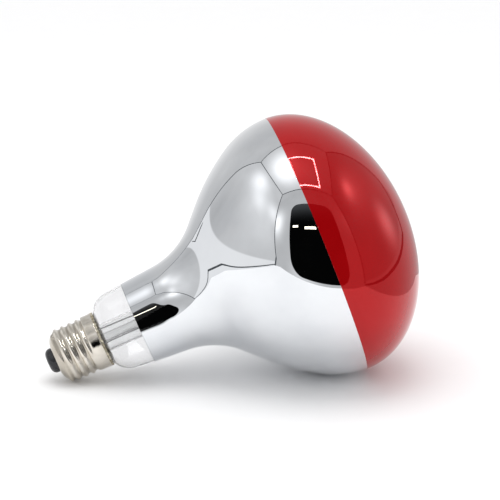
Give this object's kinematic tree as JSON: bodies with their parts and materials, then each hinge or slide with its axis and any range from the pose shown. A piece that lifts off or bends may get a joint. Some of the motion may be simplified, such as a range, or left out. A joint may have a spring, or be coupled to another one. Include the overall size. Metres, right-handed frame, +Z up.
{
  "type": "infrared reflector heat lamp",
  "caption": "Screw-in infrared heat lamp: a mirrored glass reflector bulb with a red front, a nickel screw cap and a sealed filament inside, lying on its side.",
  "frame": {"origin": "middle of the box's footprint, on the surface that the lamp lies on", "axes": "+X along the length, from the screw cap to the red front; +Z up. The lamp's own axis rises 22.45 degrees towards +X in the XZ plane"},
  "size_m": [0.1742, 0.1254, 0.1214],
  "materials": {
    "bulb_glass": "clear blown glass, polished",
    "mirror_film": "vapour-deposited aluminium, seen through the glass",
    "red_coat": "glossy transparent ruby red coat",
    "stem_glass": "clear drawn glass tube",
    "lead_wire": "dull nickel-iron wire",
    "nickel_wire": "bright nickel wire",
    "tungsten": "dark grey coiled tungsten",
    "molybdenum": "dark grey molybdenum wire",
    "nickel_cap": "nickel-plated brass, bright, faintly warm",
    "black_glass": "moulded black glass, satin",
    "contact_brass": "plain brass",
    "solder": "dull solder",
    "cement": "rough baked basing cement, olive tan"
  },
  "bodies": {
    "root": {"glass_bulb": "bulb_glass", "mirror_coating": "mirror_film", "red_coating": "red_coat", "stem_flare": "stem_glass", "stem_press": "stem_glass", "exhaust_tube": "stem_glass", "arbor_rod": "stem_glass", "arbor_button": "stem_glass", "seal_wire_side": "lead_wire", "seal_wire_centre": "lead_wire", "outer_lead_side": "lead_wire", "outer_lead_centre": "lead_wire", "inner_lead_side": "nickel_wire", "inner_lead_centre": "nickel_wire", "filament": "tungsten", "filament_clamp_side": "nickel_wire", "filament_clamp_centre": "nickel_wire", "filament_support_1": "molybdenum", "filament_support_2": "molybdenum", "filament_support_3": "molybdenum", "filament_support_4": "molybdenum", "filament_support_5": "molybdenum", "cap_shell": "nickel_cap", "cap_insulator": "black_glass", "centre_contact": "contact_brass", "contact_solder": "solder", "side_solder": "solder", "cap_cement": "cement"}
  },
  "joints": []
}
